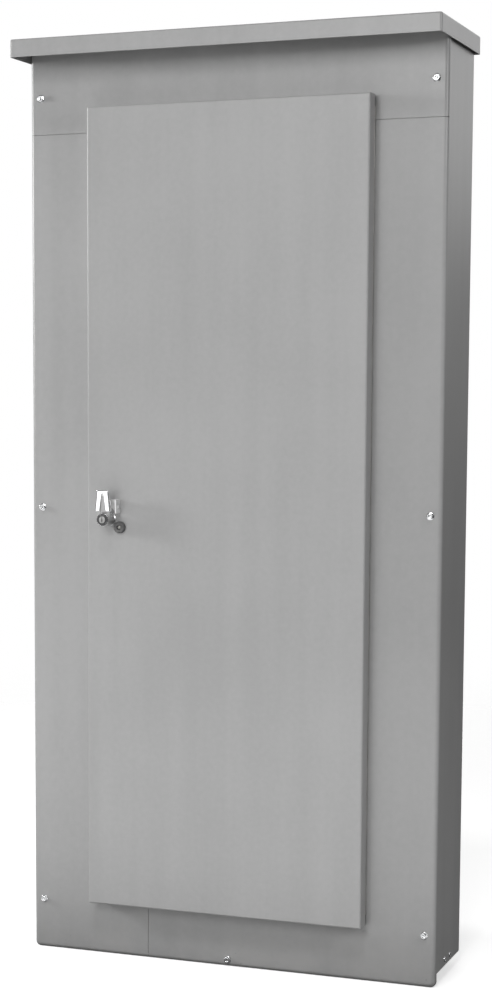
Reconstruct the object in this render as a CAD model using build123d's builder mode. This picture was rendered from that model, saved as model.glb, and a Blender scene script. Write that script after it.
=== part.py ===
from build123d import *
import math
import os

# Outdoor power distribution cabinet of folded steel sheet, in millimetres, +Z up.
# It is seen from the front along +Y. The origin is on the ground, midway across the width
# and midway between the roof's front edge and the wall behind.

os.makedirs("parts", exist_ok=True)

# The cabinet as a whole
cabinet_width = 813.0
cabinet_height = 1753.0
cabinet_depth = 206.0
box_sheet = 1.9
bend_radius = 6.0
sheet_gap = 0.3

# Front plates
plate_sheet = 1.9
plate_drop = 22.0
plate_return = 14.0
seam_below_top = 169.0
bottom_seam_x = -164.0
seam_gap = 0.9
rain_flange = 24.3
flange_bend = 2.0
opening_corner = 6.0

# Roof hood
roof_front = 80.0
roof_side = 6.0
roof_lip = 33.0
roof_sheet = 1.9
roof_bend = 1.5
roof_corner = 5.0

# Box returns, end walls and seam splices
return_width = 40.0
end_flange = 25.0
end_notch = 9.0
splice_width = 50.0
conduit_radius = 31.0
conduit_x = -220.0
conduit_y = 30.0

# Rear mounting rails
rail_depth = 10.0
rail_sheet = 2.7
rail_crown = 42.0
rail_flange = 20.0
rail_inset = 156.5
wall_bolt_low = 150.0
wall_bolt_below_top = 153.0
wall_bolt_radius = 5.5

# Screws
screw_inset = 21.5
screw_low = 98.0
screw_below_top = 101.0
drop_screw_z = 13.0
drop_screw_bore_radius = 3.0
screw_washer_radius = 7.2
screw_washer_height = 1.6
screw_across_flats = 9.6
screw_head_height = 4.6
screw_radius = 2.9
screw_hole_radius = 3.2
screw_length = 16.0
side_screw_depths = (82.0, 120.0)
side_screw_height = 12.5
side_screw_head_radius = 4.6
side_screw_head_height = 2.2
side_screw_radius = 2.4

# Door
door_side_margin = 132.5
door_below_top = 125.0
door_bottom = 108.0
door_depth = 38.0
door_sheet = 1.9
door_bend = 1.5
door_gap = 2.0
opening_margin = 12.0
hinge_margin = 26.0
gasket_width = 14.0
gasket_gap = 0.3

# Continuous hinge
hinge_end_margin = 21.0
hinge_knuckles = 15
barrel_radius = 3.3
hinge_pin_radius = 1.55
knuckle_bore_radius = 1.6
hinge_leaf_sheet = 1.4
hinge_leaf_width = 17.0
hinge_gap = 0.35
knuckle_gap = 0.5
barrel_clearance = 0.7
pin_head_radius = 2.6
pin_head_height = 1.5

# Handle and lock, measured from the handle's axis
handle_inset = 44.5
handle_z = 858.0
bushing_flange_radius = 14.0
bushing_flange = 3.0
bushing_radius = 8.0
bushing_bore_radius = 5.05
bushing_tail = 14.0
nut_across_flats = 24.0
nut_height = 6.0
shaft_radius = 5.0
running_gap = 0.3
hub_radius = 13.2
shaft_in_hub = 14.0
lock_radius = 11.4
lock_depth = 10.0
lock_proud = 1.5
plug_radius = 6.4
plug_clearance = 0.05
plug_proud = 1.0
lock_floor = 1.5
keyway_width = 2.2
keyway_height = 8.0
keyway_depth = 6.0
blade_start = 15.5
blade_end = 55.5
blade_root_width = 30.5
blade_tip_width = 23.0
blade_back = 23.5
blade_front = 33.0
blade_rounding = 2.5
groove_root_width = 13.0
groove_tip_width = 4.0
groove_end = 50.0
groove_depth = 4.0

# Padlock hasp and lever rest on the door, measured from the handle's axis
hasp_x = 23.0
hasp_z = 24.5
hasp_height = 25.5
hasp_sheet = 2.5
hasp_reach = 21.5
hasp_foot = 17.0
hasp_corner = 10.0
padlock_hole_radius = 4.8
padlock_hole_reach = 13.0
rivet_radius = 2.4
rivet_head = 1.2
rest_x = 23.0
rest_z = -15.5
rest_radius = 11.5
rest_height = 9.0
rest_rivet_radius = 4.2

# Latch
cam_sheet = 3.0
cam_clearance = 0.5
cam_boss_radius = 10.0
crank_radius = 18.0
crank_pin_radius = 3.0
crank_lug_radius = 7.0
crank_pin_head_radius = 4.6
crank_pin_head = 1.4
tongue_width = 16.0
tongue_length = 42.0
rod_width = 14.0
rod_sheet = 3.0
rod_gap = 0.5
rod_overlap = 14.0
slot_clearance = 0.7
rod_eye_wall = 3.4
guide_sheet = 1.9
guide_gap = 0.3
guide_foot = 14.0
guide_outer = 10.5
guide_inner = 15.0
guide_end_inset = 42.0
guide_near_handle = 112.0

# Stiffener and drawing pocket inside the door
stiffener_x = 20.0
stiffener_sheet = 1.5
stiffener_crown = 34.0
stiffener_flange = 15.0
stiffener_depth = 20.0
stiffener_inset = 45.0
pocket_x = -108.0
pocket_z = 640.0
pocket_width = 160.0
pocket_height = 210.0
pocket_depth = 22.0
pocket_sheet = 1.2
pocket_lip = 60.0

# Inner pan and live parts
pan_side_margin = 121.5
pan_bottom = 100.0
pan_below_top = 113.0
pan_sheet = 2.7
pan_standoff = 30.0
bus_width = 25.0
bus_thickness = 6.0
bus_pitch = 40.0
bus_below_branches = 60.0
bus_below_main = 110.0
bus_support_depth = 40.0
bus_support_width = 150.0
bus_support_height = 30.0
bus_support_inset = 25.0

# Circuit breakers
branch_width = 165.0
branch_height = 105.0
branch_pitch = 118.0
branch_rows = 3
branch_below_main = 510.0
column_gap = 25.0
breaker_depth = 80.0
main_width = 140.0
main_height = 257.0
main_below_pan_top = 190.0
nose_depth = 8.0
branch_nose_width = 84.0
branch_nose_height = 92.0
main_nose_width = 104.0
main_nose_height = 130.0
nose_rounding = 3.0
toggle_radius = 15.0
toggle_width = 18.0
toggle_sink = 14.0
toggle_reach = 30.0
toggle_root = 10.0
toggle_tip = 7.0
toggle_tilt = 16.0
toggle_gap = 0.4
toggle_slot = 26.0

# Dead-front cover
cover_sheet = 1.9
cover_flange = 25.0
cover_bend = 2.0
cover_gap = 0.3
cover_hole_gap = 0.6
post_radius = 6.0
post_inset = 22.0

# Neutral and earth bars
bar_size = 12.0
bar_length = 320.0
bar_holes = 14
bar_hole_radius = 2.6
bar_inset = 50.0
bar_bottom = 300.0
bar_standoff = 22.0
bar_foot = 18.0

# Places that follow the cabinet's width and height
seam_height = cabinet_height - seam_below_top
screw_high = cabinet_height - screw_below_top
rail_spacing = cabinet_width - 2 * rail_inset
wall_bolt_high = cabinet_height - wall_bolt_below_top
door_width = cabinet_width - 2 * door_side_margin
door_height = cabinet_height - door_below_top - door_bottom
hinge_length = door_height - 2 * hinge_end_margin
handle_x = handle_inset - door_width / 2
pan_width = cabinet_width - 2 * pan_side_margin
pan_height = cabinet_height - pan_below_top - pan_bottom
main_z = pan_bottom + pan_height - main_below_pan_top
branch_first_z = main_z - branch_below_main
bus_bottom = branch_first_z - bus_below_branches
bus_top = main_z - bus_below_main

# Depths of the main planes, from the front to the back
roof_depth = roof_front + cabinet_depth + rail_depth
front_y = roof_front - roof_depth / 2
plate_back_y = front_y + plate_sheet
back_y = front_y + cabinet_depth
wall_y = back_y + rail_depth
door_front_y = front_y - door_depth
door_inner_y = door_front_y + door_sheet
gasket_back_y = front_y - rain_flange - gasket_gap

# Edges of the door and of the opening behind it
door_left = -door_width / 2
door_right = door_width / 2
door_top = door_bottom + door_height
opening_left = door_left + opening_margin
opening_right = door_right - hinge_margin
opening_bottom = door_bottom + opening_margin
opening_top = door_top - opening_margin
opening_width = opening_right - opening_left
opening_height = opening_top - opening_bottom
opening_x = (opening_left + opening_right) / 2
opening_z = (opening_bottom + opening_top) / 2

# The box inside the front plates' returns
box_width = cabinet_width - 2 * (plate_sheet + sheet_gap)
box_depth = back_y - plate_back_y
box_bottom = plate_drop
box_top = cabinet_height - roof_sheet
box_inner_width = box_width - 2 * box_sheet
return_inner = box_width / 2 - return_width
wall_inner_y = back_y - box_sheet

# Screw places on the front, as X and Z
screw_x = cabinet_width / 2 - screw_inset
screw_middle = (screw_low + screw_high) / 2
side_screws = [(x, z) for x in (-screw_x, screw_x) for z in (screw_low, screw_middle, screw_high)]
end_screws_at = [(front_y + depth, box_bottom + side_screw_height) for depth in side_screw_depths]
end_screw_hole_radius = side_screw_radius + screw_hole_radius - screw_radius
front_screws_at = side_screws + [(0, drop_screw_z)]
wall_bolts_at = [
    (x, z) for x in (-rail_spacing / 2, rail_spacing / 2) for z in (wall_bolt_low, wall_bolt_high)
]

# The hinge's axis and the handle's planes
hinge_x = door_right - barrel_radius
hinge_y = front_y - hinge_gap - barrel_radius
hinge_bottom = door_bottom + (door_height - hinge_length) / 2
cam_y = plate_back_y + cam_clearance
rod_y = cam_y + cam_sheet + rod_gap
crank_offset = crank_radius * math.cos(math.radians(45))
rod_travel = 2 * crank_offset


def front_plane(y):
    """A plane across the cabinet at depth y: its x is X and its y is Z, and it faces the front."""
    return Plane.XZ.offset(-y)


def across_block(width, height, depth, corner, edge, centre, front):
    """A block across the cabinet, with rounded corners and a rounded front edge."""
    with BuildPart() as block:
        with BuildSketch(front_plane(front)):
            with Locations(centre):
                if corner > 0:
                    RectangleRounded(width, height, corner)
                else:
                    Rectangle(width, height)
        extrude(amount=-depth)
        fillet(block.faces().sort_by(Axis.Y)[0].edges(), edge)
    return block.part


def bent_strip(points, thickness, radius, side=Side.LEFT):
    """The section of a folded sheet: a bent line thickened to one side."""
    with BuildSketch() as section:
        with BuildLine():
            FilletPolyline(*points, radius=radius)
            offset(amount=thickness, side=side)
        make_face()
    return section.sketch


def save(solid, name):
    """Label a finished piece and write it to its own file."""
    solid.part.label = name
    export_step(solid.part, f"parts/{name}.step")


# Box: the back and both sides folded from one sheet, with returns behind the front plates
with BuildPart() as back_box:
    with BuildSketch(Plane.XY.offset(box_bottom)):
        with Locations((0, plate_back_y + box_depth / 2)):
            RectangleRounded(box_width, box_depth, bend_radius + box_sheet)
            inner_depth = box_depth - 2 * box_sheet
            RectangleRounded(box_inner_width, inner_depth, bend_radius, mode=Mode.SUBTRACT)
        with Locations((0, plate_back_y)):
            Rectangle(2 * return_inner, 4 * box_sheet, mode=Mode.SUBTRACT)
    extrude(amount=box_top - box_bottom)
    with BuildSketch(front_plane(plate_back_y)):
        with Locations(*side_screws):
            Circle(screw_hole_radius)
    extrude(amount=-box_sheet, mode=Mode.SUBTRACT)
    with BuildSketch(front_plane(wall_inner_y)):
        with Locations(*wall_bolts_at):
            Circle(wall_bolt_radius)
    extrude(amount=-box_sheet, mode=Mode.SUBTRACT)
    with BuildSketch(Plane.YZ):
        with Locations(*end_screws_at):
            Circle(end_screw_hole_radius)
    extrude(amount=cabinet_width, both=True, mode=Mode.SUBTRACT)
save(back_box, "back_box")


# Front: a shallow pan whose side and bottom edges turn back over the box, with a rain flange
# that stands forward round the door opening. It is parted into three plates at the seams.
shell_corner = bend_radius + plate_sheet + 2
shell_height = box_top + 2 * shell_corner
shell_centre = (0, shell_height / 2)
shell_outside = across_block(
    cabinet_width,
    shell_height,
    plate_return,
    shell_corner,
    bend_radius + plate_sheet,
    shell_centre,
    front_y,
)
shell_inside = across_block(
    cabinet_width - 2 * plate_sheet,
    shell_height - 2 * plate_sheet,
    plate_return,
    shell_corner - plate_sheet,
    bend_radius,
    shell_centre,
    plate_back_y,
)

with BuildPart() as front_shell:
    add(shell_outside)
    add(shell_inside, mode=Mode.SUBTRACT)
    with BuildSketch(front_plane(plate_back_y)):
        with Locations((opening_x, opening_z)):
            RectangleRounded(
                opening_width + 2 * plate_sheet,
                opening_height + 2 * plate_sheet,
                opening_corner + plate_sheet,
            )
    extrude(amount=plate_sheet + rain_flange)
    with BuildSketch(front_plane(plate_back_y)):
        with Locations((opening_x, opening_z)):
            RectangleRounded(opening_width, opening_height, opening_corner)
    extrude(amount=plate_sheet + rain_flange, mode=Mode.SUBTRACT)
    root = front_shell.edges().filter_by_position(Axis.Y, front_y - 0.01, front_y + 0.01)
    root = root.filter_by_position(Axis.X, opening_left - 5, opening_right + 5)
    fillet(root.filter_by_position(Axis.Z, opening_bottom - 5, opening_top + 5), flange_bend)
    heel = front_shell.edges().filter_by_position(Axis.Y, plate_back_y - 0.01, plate_back_y + 0.01)
    heel = heel.filter_by_position(Axis.X, opening_left - 1, opening_right + 1)
    heel = heel.filter_by_position(Axis.Z, opening_bottom - 1, opening_top + 1)
    fillet(heel, flange_bend)
    with BuildSketch(front_plane(front_y)):
        with Locations(*front_screws_at):
            Circle(screw_hole_radius)
    extrude(amount=-plate_sheet, mode=Mode.SUBTRACT)


def front_plate(*outline):
    """One plate of the front: the part of the pan inside an outline given as X and Z."""
    with BuildPart() as plate:
        add(front_shell.part)
        with BuildSketch(front_plane(front_y - rain_flange)):
            with BuildLine():
                Polyline(*outline, close=True)
            make_face()
        extrude(amount=-(rain_flange + plate_return), mode=Mode.INTERSECT)
    return plate


half_width = cabinet_width / 2
upper_seam = seam_height + seam_gap / 2
lower_seam = seam_height - seam_gap / 2
left_seam = bottom_seam_x - seam_gap / 2
right_seam = bottom_seam_x + seam_gap / 2
front_top_plate = front_plate(
    (-half_width, upper_seam), (half_width, upper_seam), (half_width, box_top), (-half_width, box_top)
)
front_left_plate = front_plate(
    (-half_width, 0), (left_seam, 0), (left_seam, opening_z), (0, lower_seam), (-half_width, lower_seam)
)
front_right_plate = front_plate(
    (right_seam, 0), (half_width, 0), (half_width, lower_seam), (0, lower_seam), (right_seam, opening_z)
)
save(front_top_plate, "front_top_plate")
save(front_left_plate, "front_left_plate")
save(front_right_plate, "front_right_plate")


def splice(low, high):
    """A strip welded behind a seam, between two corners given as X and Z."""
    with BuildPart() as strip:
        with BuildSketch(front_plane(plate_back_y)):
            with Locations(((low[0] + high[0]) / 2, (low[1] + high[1]) / 2)):
                Rectangle(high[0] - low[0], high[1] - low[1])
        extrude(amount=-plate_sheet)
    return strip


flange_clear = plate_sheet + flange_bend + 1
splice_low = seam_height - splice_width / 2
splice_high = seam_height + splice_width / 2
seam_splice_left = splice((-return_inner + 1, splice_low), (opening_left - flange_clear, splice_high))
seam_splice_right = splice((opening_right + flange_clear, splice_low), (return_inner - 1, splice_high))
seam_splice_bottom = splice(
    (bottom_seam_x - splice_width / 2, box_bottom + 2 * box_sheet),
    (bottom_seam_x + splice_width / 2, opening_bottom - flange_clear),
)
save(seam_splice_left, "seam_splice_left")
save(seam_splice_right, "seam_splice_right")
save(seam_splice_bottom, "seam_splice_bottom")


def end_wall(outer_z, inward):
    """An end wall: a plate inside the box with flanges along its sides and back, turned into
    the box, and one at the front that hangs behind the front plates."""
    inner = outer_z + inward * end_flange
    half = box_inner_width / 2 - sheet_gap
    rear = wall_inner_y - sheet_gap
    fore = plate_back_y + box_sheet + sheet_gap
    turn = bend_radius / 2 + box_sheet
    thick_side = Side.LEFT if inward > 0 else Side.RIGHT
    sides = [(-half, inner), (-half, outer_z), (half, outer_z), (half, inner)]
    back = [(plate_back_y + 2 * turn, outer_z), (rear, outer_z), (rear, inner)]
    low = bend_radius + plate_sheet + sheet_gap if inward > 0 else outer_z - end_flange
    upper_z = max(outer_z, outer_z + inward * box_sheet)
    front = [(plate_back_y, low), (plate_back_y, upper_z), (rear - 2 * turn, upper_z)]
    with BuildPart() as wall:
        with BuildSketch(front_plane(fore + end_notch)):
            add(bent_strip(sides, box_sheet, turn, thick_side))
        extrude(amount=-(rear - fore - 2 * end_notch))
        with BuildSketch(Plane.YZ):
            add(bent_strip(back, box_sheet, turn, thick_side))
        extrude(amount=half - end_notch, both=True)
        with BuildSketch(Plane.YZ):
            add(bent_strip(front, box_sheet, turn, Side.RIGHT))
        extrude(amount=return_inner - 1, both=True)
    return wall


top_end_wall = end_wall(box_top, -1)
save(top_end_wall, "top_end_wall")

with BuildPart() as bottom_end_wall:
    add(end_wall(box_bottom, 1).part)
    with BuildSketch(Plane.XY.offset(box_bottom)):
        with Locations((conduit_x, conduit_y)):
            Circle(conduit_radius)
    extrude(amount=box_sheet, mode=Mode.SUBTRACT)
    with BuildSketch(front_plane(plate_back_y)):
        with Locations((0, drop_screw_z)):
            Circle(drop_screw_bore_radius)
    extrude(amount=-box_sheet, mode=Mode.SUBTRACT)
    with BuildSketch(Plane.YZ):
        with Locations(*end_screws_at):
            Circle(end_screw_hole_radius)
    extrude(amount=cabinet_width, both=True, mode=Mode.SUBTRACT)
save(bottom_end_wall, "bottom_end_wall")


# Roof hood: a tray turned upside down, which overhangs the front and reaches back to the wall
roof_width = cabinet_width + 2 * roof_side


def roof_block(shrink, edge):
    """The roof's outside, or with a positive shrink its inside."""
    with BuildPart() as block:
        with BuildSketch(Plane.XY.offset(cabinet_height - roof_lip)):
            RectangleRounded(roof_width - 2 * shrink, roof_depth - 2 * shrink, roof_corner - shrink)
        extrude(amount=roof_lip - shrink)
        fillet(block.faces().sort_by(Axis.Z)[-1].edges(), edge)
    return block.part


roof_outside = roof_block(0, roof_bend + roof_sheet)
roof_inside = roof_block(roof_sheet, roof_bend)
with BuildPart() as roof_hood:
    add(roof_outside)
    add(roof_inside, mode=Mode.SUBTRACT)
save(roof_hood, "roof_hood")


# Rear mounting rails: hat sections from the ground to just under the roof's lip
rail_top = cabinet_height - roof_lip - 5


def mounting_rail(side):
    """A hat section on the back of the box, with its crown against the wall."""
    x = side * rail_spacing / 2
    web = rail_crown / 2 - rail_sheet
    foot = rail_crown / 2 + rail_flange
    crown_y = wall_y - rail_sheet
    hat = [(-foot, back_y), (-web, back_y), (-web, crown_y), (web, crown_y), (web, back_y), (foot, back_y)]
    with BuildPart() as rail:
        with BuildSketch(Plane.XY):
            add(bent_strip([(x + px, py) for px, py in hat], rail_sheet, rail_sheet + 0.5))
        extrude(amount=rail_top)
        with BuildSketch(front_plane(crown_y)):
            with Locations((x, wall_bolt_low), (x, wall_bolt_high)):
                Circle(wall_bolt_radius)
        extrude(amount=-rail_sheet, mode=Mode.SUBTRACT)
    return rail


save(mounting_rail(-1), "mounting_rail_left")
save(mounting_rail(1), "mounting_rail_right")


# Screws: hex washer heads on the front, pan heads low on the side walls
with BuildPart() as front_screws:
    with BuildSketch(front_plane(front_y)):
        with Locations(*front_screws_at):
            Circle(screw_washer_radius)
    extrude(amount=screw_washer_height)
    with BuildSketch(front_plane(front_y - screw_washer_height)):
        with Locations(*front_screws_at):
            RegularPolygon(screw_across_flats / 2, 6, major_radius=False)
    extrude(amount=screw_head_height)
    with BuildSketch(front_plane(front_y)):
        with Locations(*front_screws_at):
            Circle(screw_radius)
    extrude(amount=-screw_length)
save(front_screws, "front_screws")

with BuildPart() as end_wall_screws:
    for side in (-1, 1):
        wall_face = Plane.YZ.offset(side * box_width / 2)
        with BuildSketch(wall_face):
            with Locations(*end_screws_at):
                Circle(side_screw_head_radius)
        extrude(amount=side * side_screw_head_height, taper=20)
        with BuildSketch(wall_face):
            with Locations(*end_screws_at):
                Circle(side_screw_radius)
        extrude(amount=-side * (2 * box_sheet + 4))
save(end_wall_screws, "end_wall_screws")


# Door: a deep pan. Its right side is shorter, so that the hinge barrel fits behind it.
door_centre = (0, door_bottom + door_height / 2)
door_outside = across_block(
    door_width, door_height, door_depth - door_gap, 0, door_bend + door_sheet, door_centre, door_front_y
)
door_inside = across_block(
    door_width - 2 * door_sheet,
    door_height - 2 * door_sheet,
    door_depth,
    0,
    door_bend,
    door_centre,
    door_inner_y,
)
with BuildPart() as door:
    add(door_outside)
    add(door_inside, mode=Mode.SUBTRACT)
    hinge_foot_y = hinge_y - barrel_radius - barrel_clearance
    with BuildSketch(front_plane(hinge_foot_y)):
        with Locations((hinge_x, door_bottom + door_height / 2)):
            Rectangle(4 * barrel_radius, door_height)
    extrude(amount=-door_depth, mode=Mode.SUBTRACT)
    with BuildSketch(front_plane(door_front_y)):
        with Locations((handle_x, handle_z)):
            Circle(bushing_radius + sheet_gap)
        foot_x = handle_x + hasp_x - hasp_foot / 2
        with Locations((foot_x, handle_z + hasp_z), (handle_x + rest_x, handle_z + rest_z)):
            Circle(rivet_radius)
    extrude(amount=-door_sheet, mode=Mode.SUBTRACT)
save(door, "door")

# Gasket: a foam strip inside the door that the rain flange's edge presses into
gasket_mid = plate_sheet
with BuildPart() as door_gasket:
    with BuildSketch(front_plane(door_inner_y)):
        with Locations((opening_x, opening_z)):
            RectangleRounded(
                opening_width + gasket_mid + gasket_width,
                opening_height + gasket_mid + gasket_width,
                opening_corner + gasket_width / 2,
            )
            RectangleRounded(
                opening_width + gasket_mid - gasket_width,
                opening_height + gasket_mid - gasket_width,
                opening_corner / 2,
                mode=Mode.SUBTRACT,
            )
    extrude(amount=-(gasket_back_y - door_inner_y))
save(door_gasket, "door_gasket")

# Stiffener: a hat section down the inside of the door
with BuildPart() as door_stiffener:
    web = stiffener_crown / 2
    foot = web + stiffener_flange
    crown_y = door_inner_y + stiffener_depth
    hat = [(-foot, door_inner_y), (-web, door_inner_y), (-web, crown_y)]
    hat += [(web, crown_y), (web, door_inner_y), (foot, door_inner_y)]
    with BuildSketch(Plane.XY.offset(opening_bottom + stiffener_inset)):
        add(bent_strip([(stiffener_x + px, py) for px, py in hat], stiffener_sheet, stiffener_sheet + 1))
    extrude(amount=opening_height - 2 * stiffener_inset)
save(door_stiffener, "door_stiffener")

# Drawing pocket: an open-topped sheet tray on the inside of the door
with BuildPart() as drawing_pocket:
    with BuildSketch(front_plane(door_inner_y)):
        with Locations((pocket_x, pocket_z)):
            Rectangle(pocket_width, pocket_height)
    extrude(amount=-pocket_depth)
    fillet(drawing_pocket.edges().filter_by(Axis.Y).sort_by(Axis.Z)[:2], 4)
    offset(amount=-pocket_sheet, openings=drawing_pocket.faces().sort_by(Axis.Z)[-1])
    with BuildSketch(front_plane(door_inner_y + pocket_sheet)):
        with Locations((pocket_x, pocket_z + pocket_height / 2)):
            Rectangle(pocket_width, 2 * (pocket_height - pocket_lip))
    extrude(amount=-pocket_depth, mode=Mode.SUBTRACT)
save(drawing_pocket, "drawing_pocket")


# Continuous hinge: leaves with knuckles in turn along one pin
knuckle_pitch = hinge_length / hinge_knuckles
frame_knuckles = range(0, hinge_knuckles, 2)
door_knuckles = range(1, hinge_knuckles, 2)


def knuckles(turns, tab_low, tab_high):
    """A leaf's knuckles, each with the tab that joins it to the leaf."""
    tab_size = (tab_high[0] - tab_low[0], tab_high[1] - tab_low[1])
    with BuildPart() as row:
        for turn in turns:
            with BuildSketch(Plane.XY.offset(hinge_bottom + turn * knuckle_pitch + knuckle_gap / 2)):
                with Locations((hinge_x, hinge_y)):
                    Circle(barrel_radius)
                with Locations(tab_low):
                    Rectangle(*tab_size, align=(Align.MIN, Align.MIN))
                with Locations((hinge_x, hinge_y)):
                    Circle(knuckle_bore_radius, mode=Mode.SUBTRACT)
            extrude(amount=knuckle_pitch - knuckle_gap)
    return row.part


frame_leaf_edge = hinge_x - barrel_radius - barrel_clearance
with BuildPart() as hinge_frame_leaf:
    with BuildSketch(front_plane(front_y)):
        with Locations((hinge_x - hinge_leaf_width, hinge_bottom)):
            leaf_width = frame_leaf_edge - hinge_x + hinge_leaf_width
            Rectangle(leaf_width, hinge_length, align=(Align.MIN, Align.MIN))
    extrude(amount=hinge_leaf_sheet)
    add(knuckles(frame_knuckles, (frame_leaf_edge, front_y - hinge_leaf_sheet), (hinge_x, front_y)))
save(hinge_frame_leaf, "hinge_frame_leaf")

door_leaf_x = door_right - door_sheet
with BuildPart() as hinge_door_leaf:
    with BuildSketch(Plane.YZ.offset(door_leaf_x)):
        with Locations((hinge_foot_y, hinge_bottom)):
            Rectangle(hinge_leaf_width, hinge_length, align=(Align.MAX, Align.MIN))
    extrude(amount=-hinge_leaf_sheet)
    tab_end = hinge_y - (barrel_radius + knuckle_bore_radius) / 2
    add(knuckles(door_knuckles, (door_leaf_x - hinge_leaf_sheet, hinge_foot_y), (door_leaf_x, tab_end)))
save(hinge_door_leaf, "hinge_door_leaf")

with BuildPart() as hinge_pin:
    with BuildSketch(Plane.XY.offset(hinge_bottom)):
        with Locations((hinge_x, hinge_y)):
            Circle(hinge_pin_radius)
    extrude(amount=hinge_length)
    for end, away in ((hinge_bottom, -1), (hinge_bottom + hinge_length, 1)):
        with BuildSketch(Plane.XY.offset(end)):
            with Locations((hinge_x, hinge_y)):
                Circle(pin_head_radius)
        extrude(amount=away * pin_head_height)
save(hinge_pin, "hinge_pin")


# Handle bushing and nut: the handle's shaft turns in them, through the door
def on_axis(y):
    """A plane across the cabinet at depth y, with its origin on the handle's axis."""
    return Plane(origin=(handle_x, y, handle_z), x_dir=(1, 0, 0), z_dir=(0, -1, 0))


with BuildPart() as handle_bushing:
    with BuildSketch(on_axis(door_front_y)):
        Circle(bushing_flange_radius)
    extrude(amount=bushing_flange)
    chamfer(handle_bushing.faces().sort_by(Axis.Y)[0].edges(), 1)
    with BuildSketch(on_axis(door_front_y)):
        Circle(bushing_radius)
    extrude(amount=-bushing_tail)
    with BuildSketch(on_axis(door_front_y - bushing_flange)):
        Circle(bushing_bore_radius)
    extrude(amount=-(bushing_flange + bushing_tail), mode=Mode.SUBTRACT)
save(handle_bushing, "handle_bushing")

with BuildPart() as bushing_nut:
    with BuildSketch(on_axis(door_inner_y)):
        RegularPolygon(nut_across_flats / 2, 6, major_radius=False)
        Circle(bushing_radius, mode=Mode.SUBTRACT)
    extrude(amount=-nut_height)
save(bushing_nut, "bushing_nut")

# Lever handle: a cast hub with a tapered blade that has a groove down its middle
hub_back_y = door_front_y - bushing_flange - running_gap
hub_front_y = door_front_y - blade_front


def blade_outline(low, high, low_width, high_width):
    """A tapered outline, wide at low and narrow at high."""
    return [(-low_width / 2, low), (low_width / 2, low), (high_width / 2, high), (-high_width / 2, high)]


with BuildPart() as lever_handle:
    with BuildSketch(on_axis(door_front_y - blade_back)):
        with BuildLine():
            outline = blade_outline(blade_start, blade_end, blade_root_width, blade_tip_width)
            Polyline(*outline, close=True)
        make_face()
    extrude(amount=blade_front - blade_back)
    fillet(lever_handle.edges().filter_by(Axis.Y), blade_rounding)
    fillet(lever_handle.faces().sort_by(Axis.Y)[0].edges(), blade_rounding / 2)
    with BuildSketch(on_axis(hub_front_y)):
        with BuildLine():
            outline = blade_outline(blade_start - 1, groove_end, groove_root_width, groove_tip_width)
            Polyline(*outline, close=True)
        make_face()
    extrude(amount=-groove_depth, mode=Mode.SUBTRACT)
    with BuildSketch(on_axis(hub_back_y)):
        Circle(hub_radius)
    extrude(amount=hub_back_y - hub_front_y)
    with BuildSketch(on_axis(door_front_y - blade_back)):
        with Locations((0, blade_start / 2)):
            Rectangle(1.6 * hub_radius, blade_start + 2)
    extrude(amount=blade_front - blade_back - groove_depth)
    with BuildSketch(on_axis(hub_front_y)):
        Circle(lock_radius)
    extrude(amount=-lock_depth, mode=Mode.SUBTRACT)
    with BuildSketch(on_axis(hub_back_y)):
        Circle(shaft_radius)
    extrude(amount=shaft_in_hub, mode=Mode.SUBTRACT)
save(lever_handle, "lever_handle")

with BuildPart() as lock_body:
    with BuildSketch(on_axis(hub_front_y + lock_depth)):
        Circle(lock_radius)
    extrude(amount=lock_depth + lock_proud)
    chamfer(lock_body.faces().sort_by(Axis.Y)[0].edges(), 1)
    with BuildSketch(on_axis(hub_front_y - lock_proud)):
        Circle(plug_radius + plug_clearance)
    extrude(amount=-(lock_depth + lock_proud - lock_floor), mode=Mode.SUBTRACT)
save(lock_body, "lock_body")

with BuildPart() as lock_plug:
    with BuildSketch(on_axis(hub_front_y - lock_proud)):
        Circle(plug_radius)
    extrude(amount=-(lock_depth + lock_proud - lock_floor - running_gap))
    extrude(lock_plug.faces().sort_by(Axis.Y)[0], amount=plug_proud)
    with BuildSketch(on_axis(hub_front_y - lock_proud - plug_proud)):
        Rectangle(keyway_width, keyway_height)
    extrude(amount=-keyway_depth, mode=Mode.SUBTRACT)
save(lock_plug, "lock_plug")

# Shaft: from the hub through the bushing to the cam
with BuildPart() as handle_shaft:
    with BuildSketch(on_axis(hub_back_y - shaft_in_hub)):
        Circle(shaft_radius)
    extrude(amount=-(cam_y + cam_sheet - hub_back_y + shaft_in_hub))
save(handle_shaft, "handle_shaft")

# Latch cam: two crank pins that drive the rods, and a tongue that catches the opening's edge.
# The lever stands upright here, with the tongue down and the pins on a rising diagonal.
crank_points = [(-crank_offset, -crank_offset), (crank_offset, crank_offset)]
pin_end_y = rod_y + rod_sheet + rod_gap
with BuildPart() as latch_cam:
    with BuildSketch(on_axis(cam_y)):
        Circle(cam_boss_radius)
        with Locations(*crank_points):
            Circle(crank_lug_radius)
        make_hull()
        with Locations((0, -tongue_length / 2)):
            Rectangle(tongue_width, tongue_length)
        Circle(shaft_radius, mode=Mode.SUBTRACT)
    extrude(amount=-cam_sheet)
    with BuildSketch(on_axis(cam_y + cam_sheet)):
        with Locations(*crank_points):
            Circle(crank_pin_radius)
    extrude(amount=-(pin_end_y - cam_y - cam_sheet))
    with BuildSketch(on_axis(pin_end_y)):
        with Locations(*crank_points):
            Circle(crank_pin_head_radius)
    extrude(amount=-crank_pin_head)
save(latch_cam, "latch_cam")


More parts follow.
